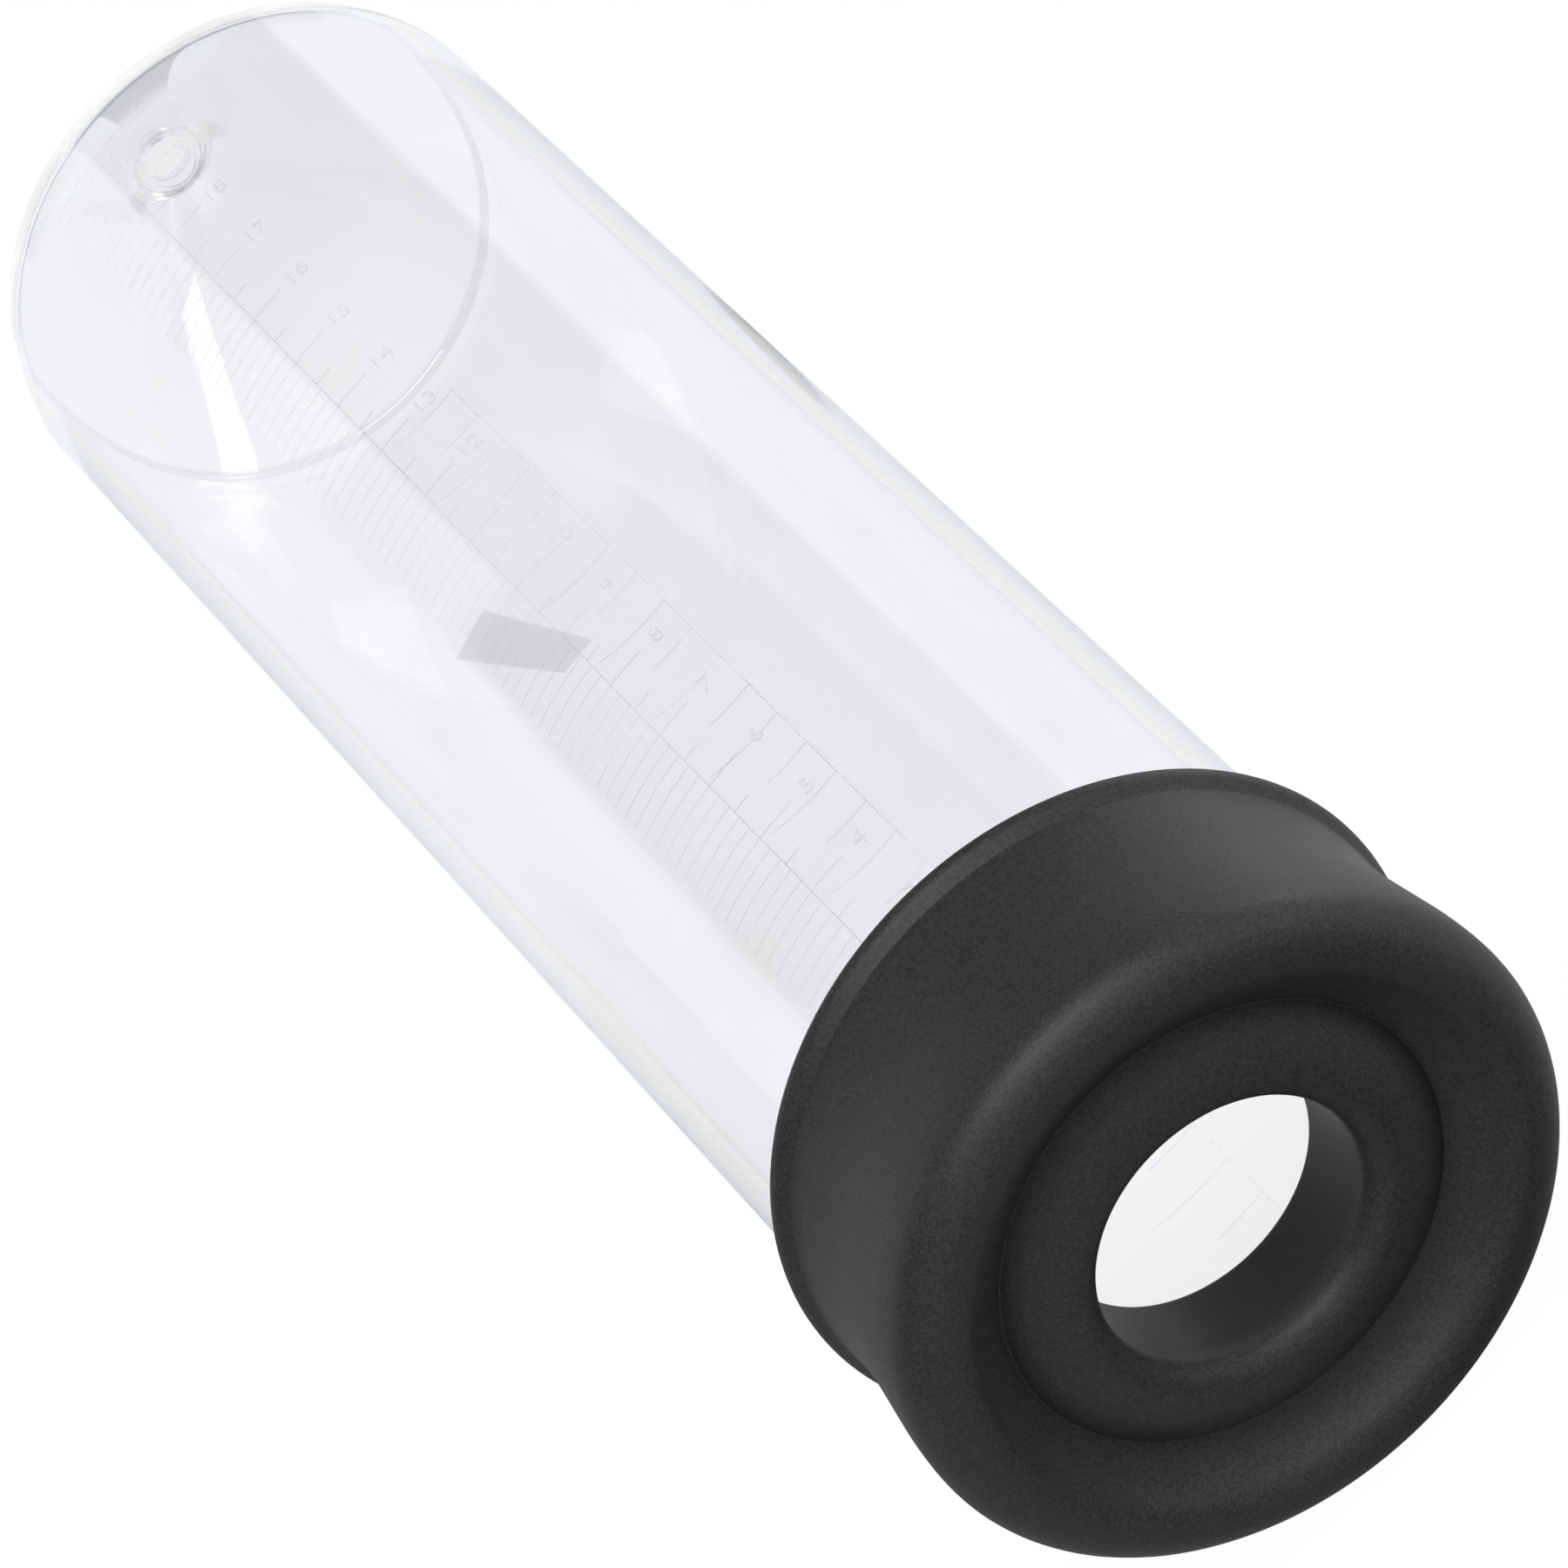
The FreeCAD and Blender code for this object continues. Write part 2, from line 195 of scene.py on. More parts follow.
class ScaleSettings(bpy.types.PropertyGroup):
    """Raised marks on the barrel."""
    mark_height: bpy.props.FloatProperty(
        name="Mark height", description="How far a mark stands out of the wall",
        default=0.12 * MM, unit="LENGTH")
    mark_sink: bpy.props.FloatProperty(
        name="Mark root", description="How deep a mark's root reaches into the wall",
        default=0.06 * MM, unit="LENGTH")
    mark_width: bpy.props.FloatProperty(
        name="Mark width", description="Width of a numbered tick or baseline",
        default=0.14 * MM, unit="LENGTH")
    fine_width: bpy.props.FloatProperty(
        name="Fine width", description="Width of a fine tick",
        default=0.08 * MM, unit="LENGTH")
    fine_height: bpy.props.FloatProperty(
        name="Fine height", description="How far a fine tick stands out of the wall",
        default=0.06 * MM, unit="LENGTH")
    zero: bpy.props.FloatProperty(
        name="Scale zero", description="Where both scales start on the axis",
        default=0.5 * MM, unit="LENGTH")
    cm_baseline: bpy.props.FloatProperty(
        name="Centimetre baseline", description="Angle of the centimetre baseline from the top",
        default=math.radians(-10.1), subtype="ANGLE", unit="ROTATION")
    cm_tick: bpy.props.FloatProperty(
        name="Centimetre tick", description="Length of a centimetre tick",
        default=4.1 * MM, unit="LENGTH")
    half_cm_tick: bpy.props.FloatProperty(
        name="Half-centimetre tick", description="Length of a half-centimetre tick",
        default=2.0 * MM, unit="LENGTH")
    fine_tick: bpy.props.FloatProperty(
        name="Fine tick", description="Length of a fine tick",
        default=7.8 * MM, unit="LENGTH")
    half_step: bpy.props.FloatProperty(
        name="Half-centimetre step", description="Distance between half-centimetre ticks",
        default=5.0 * MM, unit="LENGTH")
    fine_step: bpy.props.FloatProperty(
        name="Fine step", description="Distance between fine ticks",
        default=2.0 * MM, unit="LENGTH")
    quarter_step: bpy.props.FloatProperty(
        name="Quarter-inch step", description="Distance between quarter-inch ticks",
        default=6.35 * MM, unit="LENGTH")
    inch_line_width: bpy.props.FloatProperty(
        name="Inch line width", description="Width of the inch baseline",
        default=0.18 * MM, unit="LENGTH")
    first_numeral: bpy.props.IntProperty(
        name="First numeral", description="Lowest numeral that clears the sleeve", default=3)
    last_numeral: bpy.props.IntProperty(
        name="Last numeral", description="Highest numeral", default=20)
    numeral_size: bpy.props.FloatProperty(
        name="Numeral size", description="Text size of the numerals",
        default=2.9 * MM, unit="LENGTH")
    numeral_thinning: bpy.props.FloatProperty(
        name="Numeral thinning", description="How much each stroke edge is drawn in",
        default=0.03 * MM, unit="LENGTH")
    strip: bpy.props.FloatProperty(
        name="Strip", description="Width of the strips that bend round the barrel",
        default=0.8 * MM, unit="LENGTH")
    numeral_place: bpy.props.FloatProperty(
        name="Numeral place", description="Distance from the baseline to a numeral's middle",
        default=6.2 * MM, unit="LENGTH")
    inch_baseline: bpy.props.FloatProperty(
        name="Inch baseline", description="Angle of the inch baseline from the top",
        default=math.radians(170.8), subtype="ANGLE", unit="ROTATION")
    half_inch_tick: bpy.props.FloatProperty(
        name="Half-inch tick", description="Length of a half-inch tick",
        default=10.2 * MM, unit="LENGTH")
    quarter_inch_tick: bpy.props.FloatProperty(
        name="Quarter-inch tick", description="Length of a quarter-inch tick",
        default=6.3 * MM, unit="LENGTH")
    centimetre_cover: bpy.props.FloatProperty(
        name="Centimetre cover", description="How strongly the centimetre marks show",
        default=0.17, min=0, max=1)
    inch_cover: bpy.props.FloatProperty(
        name="Inch cover", description="How strongly the inch marks show",
        default=0.32, min=0, max=1)
    numeral_cover: bpy.props.FloatProperty(
        name="Numeral cover", description="How strongly the numerals show",
        default=0.30, min=0, max=1)
    # Painted shade: grey tints that darken the clear marks, for the dark lines that refraction
    # gives them.
    ink_dark: bpy.props.FloatVectorProperty(
        name="Darker mark", description="Darker tint of the raised marks",
        default=(0.50, 0.50, 0.57), size=3, subtype="COLOR", min=0, max=1)
    ink_light: bpy.props.FloatVectorProperty(
        name="Lighter mark", description="Lighter tint of the raised marks",
        default=(0.72, 0.72, 0.78), size=3, subtype="COLOR", min=0, max=1)


class StageSettings(bpy.types.PropertyGroup):
    """Camera, lights and floor."""
    camera_place: bpy.props.FloatVectorProperty(
        name="Camera place", description="Where the camera stands",
        default=(-0.00028, -0.5035, 0.4995), size=3, subtype="TRANSLATION", unit="LENGTH")
    camera_elevation: bpy.props.FloatProperty(
        name="Camera elevation", description="How far the camera looks down",
        default=math.radians(40.2), subtype="ANGLE", unit="ROTATION")
    camera_roll: bpy.props.FloatProperty(
        name="Camera roll", description="How far the camera is turned clockwise about its view",
        default=math.radians(44.78), subtype="ANGLE", unit="ROTATION")
    lens: bpy.props.FloatProperty(
        name="Lens", description="Focal length", default=189.2, unit="CAMERA")
    sensor: bpy.props.FloatProperty(
        name="Sensor", description="Width of the sensor", default=36.0, unit="CAMERA")
    floor_size: bpy.props.FloatProperty(
        name="Floor size", description="Side of the pale floor", default=8.0, unit="LENGTH")
    room_dark: bpy.props.FloatProperty(
        name="Dark room", description="Brightness of the studio's darker side", default=0.18)
    room_light: bpy.props.FloatProperty(
        name="Light room", description="Brightness of the studio's pale side", default=0.85)
    # Painted dark patch on the floor, seen only in reflections: its place, where it is darkest,
    # where it ends and how dark it is.
    flag_place: bpy.props.FloatVectorProperty(
        name="Flag place", description="Where a dark card lies beside the barrel",
        default=(0.047, 0.184, -0.03282), size=3, subtype="TRANSLATION", unit="LENGTH")
    flag_core: bpy.props.FloatProperty(
        name="Flag core", description="Distance from its middle where the card is darkest",
        default=9 * MM, unit="LENGTH")
    flag_reach: bpy.props.FloatProperty(
        name="Flag reach", description="Distance from its middle where the card ends",
        default=16 * MM, unit="LENGTH")
    flag_depth: bpy.props.FloatProperty(
        name="Flag depth", description="How much darker the floor is at the card",
        default=0.4, min=0, max=1)
    seen_through: bpy.props.FloatProperty(
        name="Seen through", description="Brightness of the floor seen through clear plastic",
        default=0.9)
    floor_white: bpy.props.FloatProperty(
        name="Floor white", description="Brightness of the floor seen directly", default=0.97)
    # Painted shadow of the object on the floor, seen only in reflections: how bright the floor
    # shows in front on the left, in front on the right and behind.
    floor_left: bpy.props.FloatProperty(
        name="Floor left", description="Brightness mirrored from in front on the left",
        default=0.5)
    floor_right: bpy.props.FloatProperty(
        name="Floor right", description="Brightness mirrored from in front on the right",
        default=0.1)
    floor_back: bpy.props.FloatProperty(
        name="Floor back", description="Brightness mirrored from behind", default=0.86)
    room_front: bpy.props.FloatProperty(
        name="Room front", description="How pale the room is in front of the sleeve",
        default=0.8, min=0, max=1)
    inside_dark: bpy.props.FloatProperty(
        name="Inside dark", description="Brightness of dark directions seen through plastic",
        default=0.55)


# ------------------------------------------------------------------ mesh tools

def linked(name, data):
    thing = bpy.data.objects.new(name, data)
    bpy.context.scene.collection.objects.link(thing)
    return thing


def finished_mesh(name, work):
    mesh = bpy.data.meshes.new(name)
    work.to_mesh(mesh)
    work.free()
    return mesh


def finished_piece(name, work, smooth=False):
    bmesh.ops.recalc_face_normals(work, faces=work.faces[:])
    for face in work.faces:
        face.smooth = smooth
    return linked(name, finished_mesh(name, work))


def turned_piece(name, corners, steps, longest_face):
    """A closed solid of revolution about Y from the corners of its half section.

    A corner is (radius, y, rounding); the rounding is the length that the rounded
    corner takes from both neighbouring edges."""
    work = bmesh.new()
    points = [work.verts.new((radius, y, 0)) for radius, y, _ in corners]
    for start, end in zip(points, points[1:] + points[:1]):
        work.edges.new((start, end))
    for vertex, (_, _, rounding) in zip(points, corners):
        if rounding > 0:
            bmesh.ops.bevel(work, geom=[vertex], offset=rounding, offset_type="OFFSET",
                            segments=CORNER_SEGMENTS, profile=0.5, affect="VERTICES",
                            material=-1)
    bmesh.ops.remove_doubles(work, verts=work.verts[:], dist=MERGE)
    for edge in work.edges[:]:
        cuts = int(edge.calc_length() / longest_face)
        if cuts > 0:
            bmesh.ops.subdivide_edges(work, edges=[edge], cuts=cuts)
    bmesh.ops.spin(work, geom=work.verts[:] + work.edges[:], cent=(0, 0, 0), axis=(0, 1, 0),
                   angle=FULL_TURN, steps=steps, use_merge=True)
    bmesh.ops.remove_doubles(work, verts=work.verts[:], dist=MERGE)
    return finished_piece(name, work, smooth=True)


def cut_across(work, step):
    """Cuts flat work into strips along x, so that it can bend round the barrel."""
    low = min(vertex.co.x for vertex in work.verts)
    high = max(vertex.co.x for vertex in work.verts)
    for count in range(1, int((high - low) / step) + 1):
        geom = work.verts[:] + work.edges[:] + work.faces[:]
        bmesh.ops.bisect_plane(work, geom=geom, plane_co=(low + count * step, 0, 0),
                               plane_no=(1, 0, 0), dist=CUT_TOLERANCE)


def bar_mesh(length, width, height, root, strip):
    """A flat raised bar with its long way along x and rounded top edges."""
    work = bmesh.new()
    bmesh.ops.create_cube(work, size=1.0)
    bmesh.ops.scale(work, vec=(length, width, height + root), verts=work.verts[:])
    bmesh.ops.translate(work, vec=(0, 0, (height - root) / 2), verts=work.verts[:])
    top = [edge for edge in work.edges if all(end.co.z > height / 2 for end in edge.verts)]
    bmesh.ops.bevel(work, geom=top, offset=height * BAR_ROUNDING, offset_type="OFFSET",
                    segments=BAR_SEGMENTS, profile=0.5, affect="EDGES", material=-1)
    cut_across(work, strip)
    return finished_mesh("bar", work)


def stamp(work, mesh, x, y):
    """Adds a copy of the mesh to the work, moved to x, y."""
    mesh.transform(Matrix.Translation((x, y, 0)))
    work.from_mesh(mesh)
    mesh.transform(Matrix.Translation((-x, -y, 0)))


def wrap_round_barrel(work, angle):
    """Bends flat work round the barrel: x runs along the arc, y stays, z points outwards."""
    for vertex in work.verts:
        turn = angle + vertex.co.x / BARREL_RADIUS
        reach = BARREL_RADIUS + vertex.co.z
        vertex.co = Vector((reach * math.sin(turn), vertex.co.y, reach * math.cos(turn)))


def numeral_mesh(text, size, depth, thinning):
    """A flat numeral as a mesh, centred, its thickness from -depth to depth."""
    curve = bpy.data.curves.new("numeral", type="FONT")
    curve.body = text
    curve.size = size
    curve.align_x = "CENTER"
    curve.align_y = "CENTER"
    curve.extrude = depth
    curve.offset = -thinning
    curve.resolution_u = NUMERAL_RESOLUTION
    holder = linked("numeral", curve)
    graph = bpy.context.evaluated_depsgraph_get()
    mesh = bpy.data.meshes.new_from_object(holder.evaluated_get(graph))
    bpy.data.objects.remove(holder)
    bpy.data.curves.remove(curve)
    return mesh


# ------------------------------------------------------------------ materials

CLEAR_IOR = 1.49
SILICONE_IOR = 1.48

# Noise patterns: scale, detail, roughness
SMUDGES = (38.0, 4.0, 0.6)
DUST = (420.0, 2.0, 0.4)
# The next pattern makes the ring's painted shade patchy.
RING_PAINTED_SHADE = (24.0, 2.0, 0.5)
WAVES = (45.0, 1.5, 0.5)
SPECKLE = (3400.0, 2.0, 0.6)
CLOUDS = (60.0, 3.0, 0.5)
GRAIN = (4200.0, 2.0, 0.5)
PATCHES = (400.0, 2.0, 0.5)
WEAR = (55.0, 3.0, 0.5)

# Where the barrel starts and stops being partly transparent, in mm: the sum of radius and
# y at the cone's outside, the radii of the far rim and those of the port.
FAR_RIM = (234.7, 235.9)
RIM_RADII = (15, 22)
PORT_RADII = (7, 6)


class Value:
    """A shader number that works in Python expressions."""

    def __init__(self, tree, socket):
        self.tree = tree
        self.socket = socket

    def maths(self, operation, first, second):
        node = self.tree.nodes.new("ShaderNodeMath")
        node.operation = operation
        for slot, value in zip(node.inputs, (first, second)):
            if isinstance(value, Value):
                self.tree.links.new(value.socket, slot)
            else:
                slot.default_value = value
        return Value(self.tree, node.outputs[0])

    def __add__(self, other):
        return self.maths("ADD", self, other)

    __radd__ = __add__

    def __mul__(self, other):
        return self.maths("MULTIPLY", self, other)

    __rmul__ = __mul__

    def __sub__(self, other):
        return self.maths("SUBTRACT", self, other)

    def __rsub__(self, other):
        return self.maths("SUBTRACT", other, self)

    def __pow__(self, other):
        return self.maths("POWER", self, other)


class Shader:
    """A node tree with one method that adds any node."""

    def __init__(self, owner):
        owner.use_nodes = True
        self.tree = owner.node_tree
        self.tree.nodes.clear()

    def node(self, kind, output=0, settings=None, **sockets):
        node = self.tree.nodes.new(kind)
        for name, value in (settings or {}).items():
            setattr(node, name, value)
        for name, value in sockets.items():
            key = int(name[1:]) if name[1:].isdigit() else name.replace("_", " ")
            slot = node.inputs[key]
            if isinstance(value, Value):
                self.tree.links.new(value.socket, slot)
            else:
                slot.default_value = value
        return Value(self.tree, node.outputs[output])

    def surface(self, shader, kind="ShaderNodeOutputMaterial"):
        out = self.tree.nodes.new(kind)
        self.tree.links.new(shader.socket, out.inputs["Surface"])


def place(shader):
    return shader.node("ShaderNodeTexCoord", output="Object")


def split(shader, vector):
    """The x, y and z of a vector as three numbers."""
    node = shader.node("ShaderNodeSeparateXYZ", Vector=vector).socket.node
    return [Value(shader.tree, output) for output in node.outputs]


def noise(shader, scale, detail, roughness):
    return shader.node("ShaderNodeTexNoise", Vector=place(shader), Scale=scale,
                       Detail=detail, Roughness=roughness)


def new_material(name):
    material = bpy.data.materials.new(name)
    return material, Shader(material)


def step(shader, value, low, high):
    """Goes smoothly from 0 at low to 1 at high; low may be the larger one."""
    return shader.node("ShaderNodeMapRange", settings={"interpolation_type": "SMOOTHSTEP"},
                       Value=value, From_Min=low, From_Max=high)


def spots(shader, pattern, low, high):
    """The pattern, stretched so that it goes from 0 at low to 1 at high."""
    return step(shader, noise(shader, *pattern), low, high)


def greater(first, second):
    return first.maths("MAXIMUM", first, second)


def gap(shader, point, target):
    """How far the point is from the target."""
    return shader.node("ShaderNodeVectorMath", output="Value",
                       settings={"operation": "DISTANCE"}, _0=point, _1=tuple(target))


def blend(shader, share, first, second):
    first, second = (colour if isinstance(colour, Value) else tuple(colour) + (1.0,)
                     for colour in (first, second))
    return shader.node("ShaderNodeMix", output=2, settings={"data_type": "RGBA"},
                       _0=share, _6=first, _7=second)


def clear_plastic(settings):
    """Polished clear moulding: faint waviness, handling smudges, dust specks, pale tint, painted
    shade in the shoulder ring.
    """
    material, shader = new_material("clear_moulded_plastic")
    x, y, z = split(shader, place(shader))
    radius = (x * x + z * z) ** 0.5

    smudge = spots(shader, SMUDGES, 0.50, 0.72)
    dust = spots(shader, DUST, 0.735, 0.765)
    colour = blend(shader, 0.55 * smudge + 0.45 * dust, settings.tint, settings.smudge)

    # Painted shade: the base colour darkens the thick ring inside the shoulder, more in some
    # places than in others.
    across = radius - (BARREL_RADIUS - settings.wall - settings.ring_inset)
    along = y - settings.corner_y
    off_corner = (across * across + along * along) ** 0.5
    ring = step(shader, off_corner, settings.ring_reach, settings.ring_core)
    uneven_painted_shade = spots(shader, RING_PAINTED_SHADE, 0.35, 0.65)
    colour = blend(shader, ring * (0.45 + 0.55 * uneven_painted_shade), colour, settings.ring)

    # Partly transparent where light would be trapped: the far rim, and the port a little.
    outside = step(shader, radius + y, *(edge * MM for edge in FAR_RIM))
    thin = outside * step(shader, radius, *(edge * MM for edge in RIM_RADII))
    port = step(shader, radius, *(edge * MM for edge in PORT_RADII))
    thin = greater(thin, settings.port_thinning * port)

    waves = noise(shader, *WAVES)
    bump = shader.node("ShaderNodeBump", Strength=0.025, Distance=0.4 * MM, Height=waves)
    bsdf = shader.node("ShaderNodeBsdfPrincipled", Base_Color=colour,
                       Roughness=0.004 + 0.035 * smudge, IOR=CLEAR_IOR,
                       Alpha=1.0 - settings.rim_thinning * thin,
                       Transmission_Weight=1.0, Normal=bump)
    shader.surface(bsdf)
    return material


def matte_silicone(settings):
    """Charcoal silicone: fine speckle, soft cloudy variation, painted shade inside the mouth and
    a dull, dusty gloss.
    """
    material, shader = new_material("black_matte_silicone")
    x, y, z = split(shader, place(shader))
    speckle = spots(shader, SPECKLE, 0.30, 0.72)
    cloud = noise(shader, *CLOUDS)
    colour = blend(shader, 0.7 * speckle + 0.3 * cloud, settings.dark, settings.light)
    # Painted shade: inside the mouth the base colour is made near-black, for the shade in the
    # deep tunnel.
    far, near = (settings.tunnel_radius + edge * MM for edge in (0.9, 0.1))
    bore = step(shader, (x * x + z * z) ** 0.5, far, near) * step(shader, y, 3 * MM, 6 * MM)
    colour = blend(shader, bore, colour, settings.bore)
    grain = noise(shader, *GRAIN)
    bump = shader.node("ShaderNodeBump", Strength=0.3, Distance=0.05 * MM, Height=grain)
    bsdf = shader.node("ShaderNodeBsdfPrincipled", Base_Color=colour,
                       Roughness=0.50 + 0.12 * cloud, IOR=SILICONE_IOR, Normal=bump)
    shader.surface(bsdf)
    return material


def raised_plastic(name, dark, light, cover):
    """The raised marks: the same clear plastic, less polished, with a grey tint that is painted
    shade for the dark lines the clear ridges show.
    """
    material, shader = new_material(name)
    patch = noise(shader, *PATCHES)
    worn = spots(shader, WEAR, 0.38, 0.62)
    # Painted shade: the grey tint, varied at random in patches.
    colour = blend(shader, patch, dark, light)
    bsdf = shader.node("ShaderNodeBsdfPrincipled", Base_Color=colour,
                       Alpha=cover * (0.35 + 0.65 * worn),
                       Roughness=0.06 + 0.1 * patch, IOR=CLEAR_IOR,
                       Transmission_Weight=1.0)
    shader.surface(bsdf)
    return material


# ------------------------------------------------------------------ pieces

# Roundings of the port: boss foot, boss rim, hole lip, inner edge
PORT_ROUNDS = (0.3 * MM, 0.4 * MM, 0.15 * MM, 0.25 * MM)

# Corners of the sleeve's half section in mm (radius, y, rounding): foot of the bead, waist,
# middle of the dish, outer edge of the donut
SLEEVE_CORNERS = [(31.4, 25.2, 0.12), (30.92, 20.1, 5.0), (24.6, 3.0, 2.0), (19.6, 1.55, 3.7)]

class MakeBarrel(bpy.types.Operator):
    """Turn the clear tube with its conical end and port"""
    bl_idname = "vacuum_cylinder.barrel"
    bl_label = "Clear barrel"

    def execute(self, context):
        use = context.scene.barrel_settings
        slope = math.tan(use.cone_angle)
        outer, inner = BARREL_RADIUS, BARREL_RADIUS - use.wall
        mouth, tip = BARREL_LOW.y, BARREL_HIGH.y
        outer_apex = tip - use.boss_height + use.port_boss / slope
        inner_apex = outer_apex - use.wall / math.sin(use.cone_angle)
        turn = math.tan((math.pi / 2 - use.cone_angle) / 2)
        foot, rim, lip, inside = PORT_ROUNDS
        corners = [
            (inner, mouth, use.mouth_round),
            (outer, mouth, use.mouth_round),
            (outer, outer_apex - outer / slope, use.shoulder_round * turn),
            (use.port_boss, tip - use.boss_height, foot),
            (use.port_boss, tip, rim),
            (use.port_bore, tip, lip),
            (use.port_bore, inner_apex - use.port_bore / slope, inside),
            (inner, inner_apex - inner / slope, use.shoulder_inner_round * turn),
        ]
        barrel = turned_piece("barrel_moulding", corners, use.steps, BARREL_FACE)
        barrel.data.materials.append(clear_plastic(use))
        barrel.visible_shadow = False
        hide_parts("barrel")
        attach(barrel, "barrel")
        return {"FINISHED"}


class MakeSleeve(bpy.types.Operator):
    """Turn the one-piece elastomer sleeve"""
    bl_idname = "vacuum_cylinder.sleeve"
    bl_label = "Seal sleeve"

    def execute(self, context):
        use = context.scene.sleeve_settings
        skirt = BARREL_RADIUS + use.clearance
        rear = SLEEVE_HIGH.y
        bulge = SLEEVE_HIGH.x
        collar = use.tunnel_radius + use.tunnel_wall
        web = BARREL_LOW.y - use.clearance
        bead_foot, waist, dish, donut = (
            [size * MM for size in corner] for corner in SLEEVE_CORNERS)
        corners = [
            # Rear edge of the skirt and the bead round it
            (skirt, rear, use.skirt_chamfer),
            (bulge - 0.42 * MM, rear, use.bead_round),
            (bulge - 0.45 * MM, 26.4 * MM, 0.5 * MM),
            bead_foot,
            # Waist, bulge and front roll
            waist,
            (bulge, 5.8 * MM, 1.6 * MM),
            (bulge, SLEEVE_LOW.y, use.roll_round),
            # Dished face and groove
            (27.31 * MM, SLEEVE_LOW.y, 1.35 * MM),
            dish,
            (use.groove_radius, use.groove_y, 0.12 * MM),
            # Inner donut and tunnel
            donut,
            (use.tunnel_radius, 1.55 * MM, use.lip_round),
            (use.tunnel_radius, use.tunnel_end, use.collar_round),
            # Collar and the web behind the face
            (collar, use.tunnel_end, use.collar_round),
            (collar, web, use.collar_round),
            (skirt, web, 0.2 * MM),
        ]
        sleeve = turned_piece("silicone_sleeve", corners, use.steps, SLEEVE_FACE)
        sleeve.data.materials.append(matte_silicone(use))
        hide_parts("seal_sleeve")
        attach(sleeve, "sleeve")
        return {"FINISHED"}


def scale_piece(name, use, bars, angle, cover):
    """One scale: flat bars in place, bent round the barrel."""
    work = bmesh.new()
    shapes = {}
    for x, y, length, width in bars:
        if (length, width) not in shapes:
            height = use.fine_height if width == use.fine_width else use.mark_height
            shapes[length, width] = bar_mesh(length, width, height, use.mark_sink, use.strip)
        stamp(work, shapes[length, width], x, y)
    for mesh in shapes.values():
        bpy.data.meshes.remove(mesh)
    wrap_round_barrel(work, angle)
    scale = finished_piece(name, work)
    scale.data.materials.append(raised_plastic(name, use.ink_dark, use.ink_light, cover))
    scale.visible_shadow = False
    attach(scale, "barrel")
    return scale


class MakeCentimetreScale(bpy.types.Operator):
    """Raise the centimetre scale on top of the barrel"""
    bl_idname = "vacuum_cylinder.centimetre_scale"
    bl_label = "Centimetre scale"

    def execute(self, context):
        use = context.scene.scale_settings
        low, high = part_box("centimetre_scale")
        bars = [(0, (low.y + high.y) / 2, use.mark_width, high.y - low.y)]
        halves = int((high.y - use.zero) / use.half_step)
        for count in range(1, halves + 1):
            y = use.zero + count * use.half_step
            length = use.half_cm_tick if count % 2 else use.cm_tick
            if y > low.y:
                bars.append((length / 2, y, length, use.mark_width))
        for count in range(1, int((high.y - use.zero) / use.fine_step) + 1):
            y = use.zero + count * use.fine_step
            if y > low.y:
                bars.append((-use.fine_tick / 2, y, use.fine_tick, use.fine_width))
        scale = scale_piece("centimetre_marks", use, bars, use.cm_baseline,
                            use.centimetre_cover)
        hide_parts("centimetre_scale")
        return {"FINISHED"}


class MakeInchScale(bpy.types.Operator):
    """Raise the inch scale underneath the barrel"""
    bl_idname = "vacuum_cylinder.inch_scale"
    bl_label = "Inch scale"

    def execute(self, context):
        use = context.scene.scale_settings
        low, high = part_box("inch_scale")
        bars = [(0, (low.y + high.y) / 2, use.inch_line_width, high.y - low.y)]
        for count in range(1, int((high.y - use.zero) / use.quarter_step) + 1):
            y = use.zero + count * use.quarter_step
            length = use.quarter_inch_tick if count % 2 else use.half_inch_tick
            if y > low.y:
                bars.append((length / 2, y, length, use.mark_width))
        scale = scale_piece("inch_marks", use, bars, use.inch_baseline, use.inch_cover)
        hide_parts("inch_scale")
        return {"FINISHED"}


class MakeNumerals(bpy.types.Operator):
    """Raise the numerals beside the centimetre ticks"""
    bl_idname = "vacuum_cylinder.numerals"
    bl_label = "Centimetre numerals"

    def execute(self, context):
        use = context.scene.scale_settings
        work = bmesh.new()
        for number in range(use.first_numeral, use.last_numeral + 1):
            mesh = numeral_mesh(str(number), use.numeral_size, use.mark_height,
                                use.numeral_thinning)
            stamp(work, mesh, use.numeral_place, use.zero + number * 2 * use.half_step)
            bpy.data.meshes.remove(mesh)
        cut_across(work, use.strip)
        wrap_round_barrel(work, use.cm_baseline)
        numerals = finished_piece("centimetre_numerals", work)
        numerals.data.materials.append(
            raised_plastic("numerals", use.ink_dark, use.ink_light, use.numeral_cover))
        numerals.visible_shadow = False
        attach(numerals, "barrel")
        return {"FINISHED"}


# ------------------------------------------------------------------ stage

# Colours that the surroundings show to the camera, and to everything else
WHITE = (1.0, 1.0, 1.0)
ROOM_TINT = (0.945, 0.975, 1.0)
FLOOR_TINT = (0.92, 0.965, 1.0)

# Pale parts of the room, each from no effect to full effect, in degrees round the barrel's
# axis from the top; the last one is an angle away from the closed end.
RIGHT_WALL = (71.5, 74.0)
LEFT_WALL = (-55.0, -57.5)
LEFT_CARD = (-22.0, -25.0)
LEFT_CARD_END = (38.1, 37.6)

# The same for how far a direction points back and forwards, as shares of 1
ROOM_BACK = (0.3, 0.5)
ROOM_FRONT = (-0.25, -0.6)

# Where the mirrored floor fades to the right and to the back, in metres
FLOOR_FADE_RIGHT = (-0.03, 0.02)
FLOOR_FADE_BACK = (0.0, 0.08)
FLOOR_SLANT = 1.2

